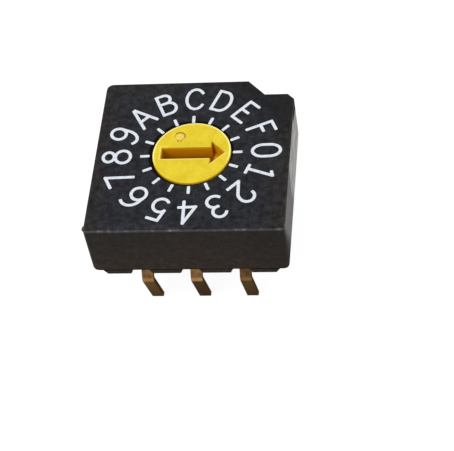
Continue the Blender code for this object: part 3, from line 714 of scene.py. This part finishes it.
def ink_piece(name, outlines, look):
    """A thin slab of ink in the shape of overlapping outlines, joined as one, on the case's top."""
    points, edges = [], []
    for outline in outlines:
        first = len(points)
        count = len(outline)
        edges += [(first + i, first + (i + 1) % count) for i in range(count)]
        points += outline
    places, _, triangles, *_ = delaunay_2d_cdt(points, edges, [], 0, SAME_PLACE)
    boxes = [
        (min(p.x for p in o), max(p.x for p in o), min(p.y for p in o), max(p.y for p in o))
        for o in outlines
    ]
    bm = bmesh.new()
    verts = [bm.verts.new((p.x * MM, p.y * MM, CASE_TOP - INK_SINK)) for p in places]
    for triangle in triangles:
        middle = sum((places[i] for i in triangle), Vector((0, 0))) / 3
        for outline, (x_low, x_high, y_low, y_high) in zip(outlines, boxes):
            within = x_low < middle.x < x_high and y_low < middle.y < y_high
            if within and is_inside(middle, outline):
                bm.faces.new([verts[i] for i in triangle])
                break
    bmesh.ops.delete(bm, geom=[v for v in bm.verts if not v.link_faces], context="VERTS")
    grown = bmesh.ops.extrude_face_region(bm, geom=list(bm.faces))
    lifted = [item for item in grown["geom"] if isinstance(item, bmesh.types.BMVert)]
    bmesh.ops.translate(bm, verts=lifted, vec=(0, 0, INK_THICKNESS + INK_SINK))
    bmesh.ops.recalc_face_normals(bm, faces=bm.faces)
    piece = mesh_object(name, bm, look)
    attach(piece, "housing")


def print_dial():
    look = ink()
    glyphs = glyph_strokes()
    characters = []
    ticks = []
    for i, character in enumerate(CHARACTERS):
        angle = math.radians(PRINT_TURN + 360 / len(CHARACTERS) * i)
        outward = Vector((math.cos(angle), math.sin(angle)))
        right = Vector((math.sin(angle), -math.cos(angle)))
        middle = PRINT_CENTRE + outward * CHARACTER_RADIUS
        for stroke in glyphs[character]:
            path = [middle + right * x + outward * y for x, y in stroke]
            characters += pen_strokes(path, STROKE)
        reach = TICK_WIDTH / 2
        ends = [PRINT_CENTRE + outward * r for r in (TICK_START + reach, TICK_END - reach)]
        ticks += pen_strokes(ends, TICK_WIDTH)
    ink_piece("dial_characters", characters, look)
    ink_piece("dial_marks", ticks, look)


def burr(look):
    """A small lump of flash on the left wall, under the top's front corner."""
    bm = bmesh.new()
    bmesh.ops.create_icosphere(bm, subdivisions=3, radius=1.0)
    for vert in bm.verts:
        lumpy = vert.co * (1.0 + BURR_LUMP_HEIGHT * noise_value(vert.co * BURR_LUMP_SCALE))
        vert.co = BURR_PLACE + lumpy * BURR_SIZE
    for face in bm.faces:
        face.smooth = True
    piece = mesh_object("burr", bm, look)
    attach(piece, "housing")


def direction(azimuth, elevation):
    """The way from the object to a lamp or camera; azimuth 0 is in front, 90 on its right."""
    a, e = math.radians(azimuth), math.radians(elevation)
    return Vector((math.sin(a) * math.cos(e), -math.cos(a) * math.cos(e), math.sin(e)))


def facing(back):
    """The turn that points a lamp or camera against a direction."""
    return (-back).to_track_quat("-Z", "Y")


def area_lamp(name, azimuth, elevation, distance, size, power):
    """A square lamp that faces the middle of the dial."""
    data = bpy.data.lights.new(name, "AREA")
    data.size = size
    data.energy = power
    lamp = add_object(name, data)
    back = direction(azimuth, elevation)
    lamp.location = Vector((0, 0, CASE_TOP)) + back * distance
    lamp.rotation_mode = "QUATERNION"
    lamp.rotation_quaternion = facing(back)


def seen_directly(tree):
    """1 for camera, glossy and transmission rays, else 0."""
    path = node(tree, "ShaderNodeLightPath").outputs
    return largest(
        tree, path["Is Camera Ray"], path["Is Glossy Ray"], path["Is Transmission Ray"]
    )


def floor_material():
    """A plain pale floor that looks white where it is seen directly, and keeps its shadow."""
    made, tree, unused = new_material("white_floor")
    tree.nodes.remove(unused)
    pale = node(tree, "ShaderNodeBsdfDiffuse", {"Color": (FLOOR_LIT,) * 3})
    dim = node(tree, "ShaderNodeBsdfDiffuse", {"Color": (FLOOR_SHADED,) * 3})
    glow = node(tree, "ShaderNodeEmission", {"Color": WHITE, "Strength": FLOOR_GLOW})
    seen = node(tree, "ShaderNodeAddShader", {0: dim.outputs[0], 1: glow.outputs[0]})
    either = {0: seen_directly(tree), 1: pale.outputs[0], 2: seen.outputs[0]}
    both = node(tree, "ShaderNodeMixShader", either)
    tree.links.new(both.outputs[0], tree.nodes["Material Output"].inputs["Surface"])
    return made


def studio():
    scene = bpy.context.scene
    scene.view_settings.view_transform = "Standard"
    world = bpy.data.worlds.new("studio")
    world.use_nodes = True
    scene.world = world
    tree = world.node_tree
    background = tree.nodes["Background"].inputs
    feed(tree, background["Color"], WHITE)
    strength = ramp(tree, seen_directly(tree), 0.0, 1.0, WORLD_LIGHT, WORLD_SEEN, smooth=False)
    feed(tree, background["Strength"], strength)

    bm = bmesh.new()
    bmesh.ops.create_circle(bm, cap_ends=True, segments=FLOOR_SEGMENTS, radius=FLOOR_RADIUS)
    floor = mesh_object("floor", bm, floor_material())
    for lamp in LAMPS:
        area_lamp(*lamp)


def camera():
    data = bpy.data.cameras.new("camera")
    data.lens = CAMERA_LENS
    data.sensor_width = SENSOR_WIDTH
    data.clip_start, data.clip_end = CAMERA_CLIP
    made = add_object("camera", data)
    back = direction(CAMERA_AZIMUTH, CAMERA_ELEVATION)
    made.location = CAMERA_AIM + back * CAMERA_DISTANCE
    made.rotation_mode = "QUATERNION"
    roll = Quaternion((0, 0, 1), math.radians(CAMERA_ROLL))
    made.rotation_quaternion = facing(back) @ roll
    bpy.context.scene.camera = made


def nodes_named(start):
    return [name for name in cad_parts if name.startswith(start)]


camera()
studio()
black = black_moulding()
dress(["cover", "base"], black)
burr(black)
dress(["rotor"], yellow_moulding())
dress(nodes_named("terminal"), terminal_metal())
gold = sheet_metal("gold_plate_look", GOLD, GOLD_WORN, 0.28, 6.0)
dress(nodes_named("contact") + ["code_plate"], gold)
steel = sheet_metal("spring_steel_look", STEEL, STEEL_WORN, 0.30, 8.0)
dress(nodes_named("detent_spring"), steel)
dress(["o_ring"], soft_moulding("seal_rubber_look", RUBBER, RUBBER_WORN, 0.62))
dress(["bottom_seal"], soft_moulding("potting_look", POTTING, POTTING_WORN, 0.32, 0.3))
print_dial()
